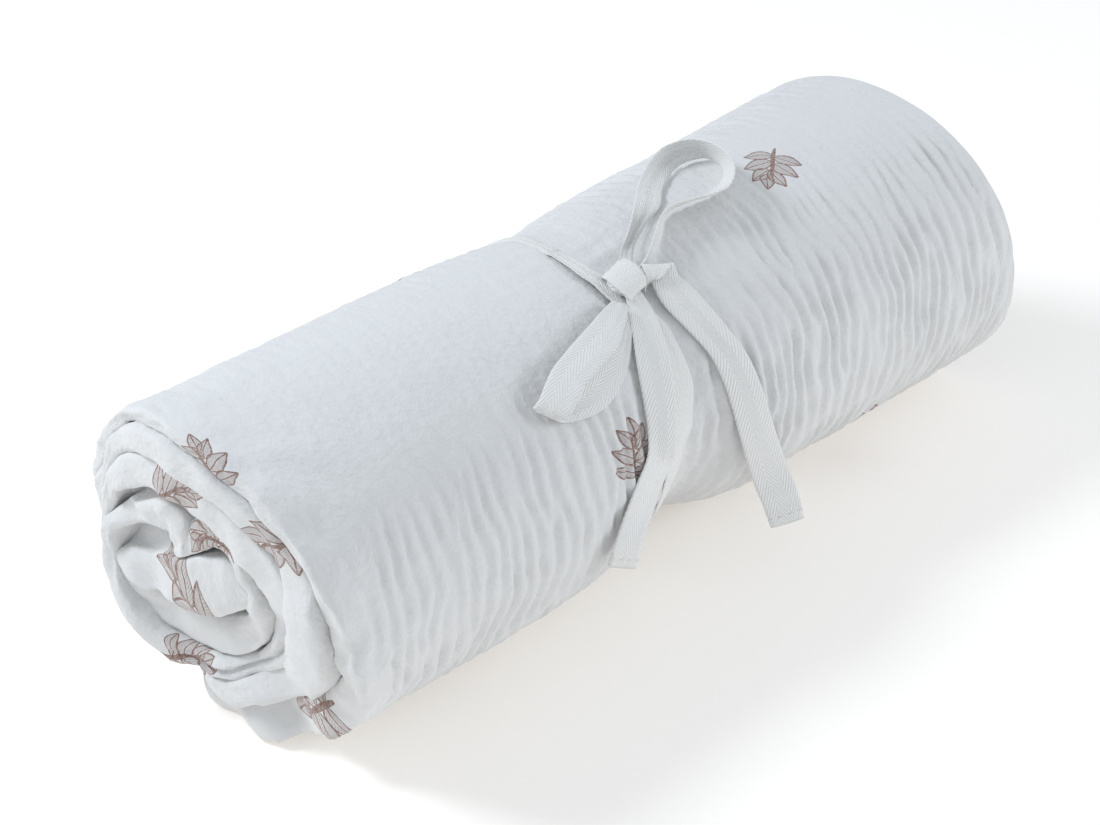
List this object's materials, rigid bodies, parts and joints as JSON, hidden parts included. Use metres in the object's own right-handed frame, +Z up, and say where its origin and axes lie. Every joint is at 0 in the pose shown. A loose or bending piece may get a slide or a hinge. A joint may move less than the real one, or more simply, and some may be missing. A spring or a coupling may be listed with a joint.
{
  "type": "swaddle blanket",
  "caption": "Crinkled cotton gauze swaddle blanket, folded into a strip, rolled up and tied at the waist with a twill tape in a bow.",
  "frame": {"origin": "middle of the bounding box's base, on the surface that the roll rests on", "axes": "+X along the roll, away from the end whose folds stand out; +Y to the back, away from the bow's tails; +Z up"},
  "size_m": [0.3296, 0.125, 0.1264],
  "materials": {
    "gauze": "matte",
    "twill": "matte"
  },
  "bodies": {
    "root": {"blanket": "gauze", "tie_tape": "twill"}
  },
  "joints": []
}
